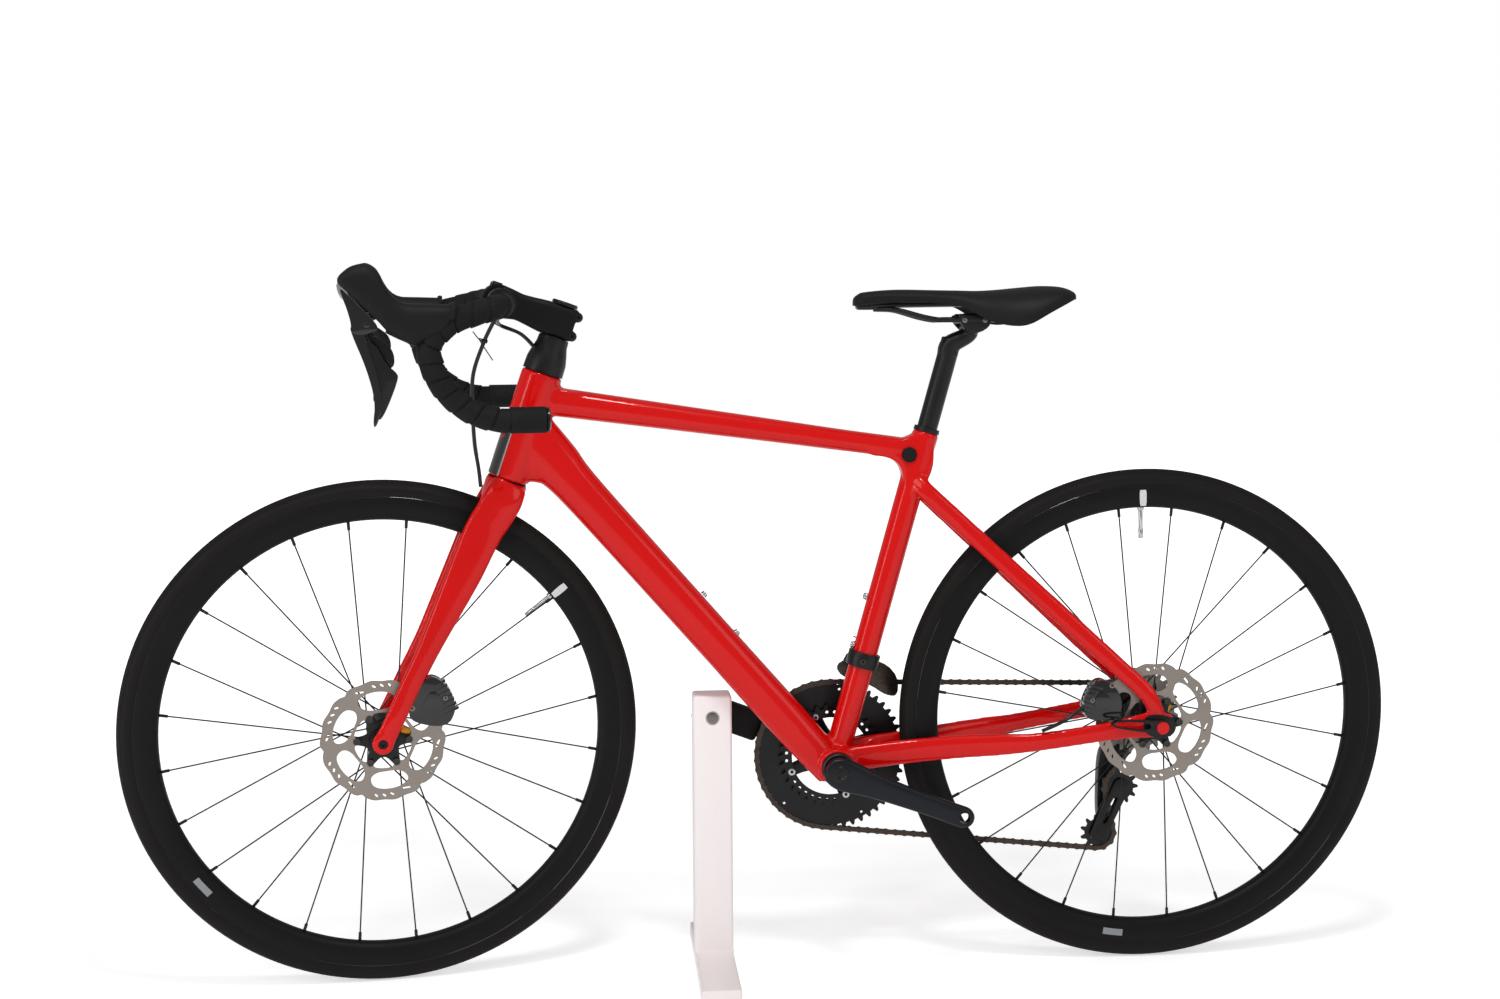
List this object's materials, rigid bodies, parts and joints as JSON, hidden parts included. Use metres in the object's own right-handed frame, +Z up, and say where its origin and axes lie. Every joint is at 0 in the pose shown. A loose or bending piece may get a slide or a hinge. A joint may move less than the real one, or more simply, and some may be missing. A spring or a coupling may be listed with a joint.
{
  "type": "bicycle on stand",
  "caption": "Road bicycle with drop bars and disc brakes, held upright by a square post stand with a flat foot at its crank.",
  "frame": {"origin": "centre of the underside of the stand's foot, on the ground and on the bicycle's mid-plane", "axes": "+X towards the rear wheel, +Y towards the drive side (the rider's right), +Z up"},
  "size_m": [1.6887, 0.4737, 0.9536],
  "materials": {
    "red": "gloss paint",
    "black_paint": "gloss paint",
    "satin_black": "satin anodised",
    "anthracite": "satin anodised",
    "tyre": "matt rubber",
    "rubber": "matt rubber",
    "tape": "matt grip tape",
    "cover": "matt synthetic cover",
    "steel": "ground steel",
    "chain_steel": "oiled steel",
    "silver": "polished",
    "white_paint": "powder coat",
    "hose": "satin plastic sleeve"
  },
  "bodies": {
    "frame": {"head_tube": "red", "top_tube": "red", "down_tube": "red", "seat_tube": "red", "bottom_bracket_shell": "red", "chainstay_left": "red", "chainstay_right": "red", "seatstay_left": "red", "seatstay_right": "red", "chain": "chain_steel", "front_derailleur": "anthracite", "rear_derailleur": "satin_black", "rear_derailleur_cage": "satin_black", "rear_caliper": "satin_black", "rear_axle": "satin_black", "stand": "white_paint", "stand_pin": "steel"},
    "fork": {"fork_crown": "red", "fork_blade_left": "red", "fork_blade_right": "red", "headset_cover": "anthracite", "front_axle": "satin_black", "front_caliper": "satin_black", "front_brake_hose": "hose", "stem": "black_paint", "stem_faceplate": "black_paint", "handlebar": "tape", "hood_left": "tape", "hood_right": "tape"},
    "front_wheel": {"front_tyre": "tyre", "front_rim": "satin_black", "front_hub": "satin_black", "front_spokes_left": "satin_black", "front_spokes_right": "satin_black", "front_rotor": "steel"},
    "rear_wheel": {"rear_tyre": "tyre", "rear_rim": "satin_black", "rear_hub": "satin_black", "rear_spokes_left": "satin_black", "rear_spokes_right": "satin_black", "rear_rotor": "steel"},
    "cranks": {"crank_arm_left": "anthracite", "crank_arm_right": "anthracite", "chainring_outer": "satin_black", "chainring_inner": "satin_black", "crank_boot": "rubber"},
    "cassette": {"cassette": "steel"},
    "guide_pulley": {"guide_pulley": "satin_black"},
    "tension_pulley": {"tension_pulley": "satin_black"},
    "rear_axle_lever": {"rear_axle_lever": "satin_black"},
    "seatpost": {"seatpost": "satin_black"},
    "saddle_clamp": {"saddle_clamp": "satin_black"},
    "saddle": {"saddle": "cover", "saddle_rails": "steel"},
    "lever_carrier_left": {"lever_carrier_left": "silver"},
    "brake_blade_left": {"brake_blade_left": "satin_black"},
    "shift_paddle_left": {"shift_paddle_left": "satin_black"},
    "lever_carrier_right": {"lever_carrier_right": "silver"},
    "brake_blade_right": {"brake_blade_right": "satin_black"},
    "shift_paddle_right": {"shift_paddle_right": "satin_black"}
  },
  "joints": [
    {"name": "steering", "type": "hinge", "parent": "frame", "child": "fork", "pos_m": [-0.267, 0, 0.666], "axis": [0.3256, 0, 0.9455], "range_deg": [-66.9, 53.1]},
    {"name": "front_wheel_spin", "type": "hinge", "parent": "fork", "child": "front_wheel", "pos_m": [-0.43475, -0.00614, 0.33488], "axis": [-0.1135, 0.9928, 0.0391], "continuous": true},
    {"name": "rear_wheel_spin", "type": "hinge", "parent": "frame", "child": "rear_wheel", "pos_m": [0.5861, 0, 0.335], "axis": [0, 1, 0], "continuous": true},
    {"name": "crank_spin", "type": "hinge", "parent": "frame", "child": "cranks", "pos_m": [0.16338, 0, 0.279], "axis": [0, 1, 0], "continuous": true},
    {"name": "cassette_spin", "type": "hinge", "parent": "frame", "child": "cassette", "pos_m": [0.5861, 0, 0.335], "axis": [0, 1, 0], "continuous": true},
    {"name": "guide_pulley_spin", "type": "hinge", "parent": "frame", "child": "guide_pulley", "pos_m": [0.5695, 0.0465, 0.224], "axis": [0, 1, 0], "continuous": true},
    {"name": "tension_pulley_spin", "type": "hinge", "parent": "frame", "child": "tension_pulley", "pos_m": [0.5385, 0.0465, 0.16], "axis": [0, 1, 0], "continuous": true},
    {"name": "rear_axle_lever_turn", "type": "hinge", "parent": "frame", "child": "rear_axle_lever", "pos_m": [0.5861, -0.09, 0.335], "axis": [0, 1, 0], "range_deg": [0, 180]},
    {"name": "seatpost_slide", "type": "slide", "parent": "frame", "child": "seatpost", "axis": [0.2686, 0, 0.9633], "range_m": [-0.08, 0.03]},
    {"name": "saddle_tilt", "type": "hinge", "parent": "seatpost", "child": "saddle_clamp", "pos_m": [0.3455, 0, 0.862], "axis": [0, 1, 0], "range_deg": [-5, 5]},
    {"name": "saddle_slide", "type": "slide", "parent": "saddle_clamp", "child": "saddle", "axis": [1, 0, 0], "range_m": [-0.012, 0.012]},
    {"name": "brake_lever_left", "type": "hinge", "parent": "fork", "child": "lever_carrier_left", "pos_m": [-0.44288, -0.23609, 0.90735], "axis": [0.1135, -0.9928, -0.0391], "range_deg": [0, 12], "stiffness_Nm_per_rad": 2},
    {"name": "shift_blade_left", "type": "hinge", "parent": "lever_carrier_left", "child": "brake_blade_left", "pos_m": [-0.43006, -0.23304, 0.86691], "axis": [0.9935, 0.1135, 0.0022], "range_deg": [0, 10], "stiffness_Nm_per_rad": 0.5},
    {"name": "shift_paddle_left", "type": "hinge", "parent": "brake_blade_left", "child": "shift_paddle_left", "pos_m": [-0.41134, -0.22047, 0.85785], "axis": [0.9935, 0.1135, 0.0022], "range_deg": [0, 12], "stiffness_Nm_per_rad": 0.1},
    {"name": "brake_lever_right", "type": "hinge", "parent": "fork", "child": "lever_carrier_right", "pos_m": [-0.48941, 0.17094, 0.92337], "axis": [0.1135, -0.9928, -0.0391], "range_deg": [0, 12], "stiffness_Nm_per_rad": 2},
    {"name": "shift_blade_right", "type": "hinge", "parent": "lever_carrier_right", "child": "brake_blade_right", "pos_m": [-0.47658, 0.174, 0.88293], "axis": [-0.9935, -0.1135, -0.0022], "range_deg": [0, 10], "stiffness_Nm_per_rad": 0.5},
    {"name": "shift_paddle_right", "type": "hinge", "parent": "brake_blade_right", "child": "shift_paddle_right", "pos_m": [-0.4556, 0.16671, 0.87309], "axis": [-0.9935, -0.1135, -0.0022], "range_deg": [0, 12], "stiffness_Nm_per_rad": 0.1}
  ],
  "couplings": [
    {"joint": "cassette_spin", "follows": "crank_spin", "ratio": 2.9412},
    {"joint": "guide_pulley_spin", "follows": "crank_spin", "ratio": -4.5455},
    {"joint": "tension_pulley_spin", "follows": "crank_spin", "ratio": 4.5455}
  ]
}
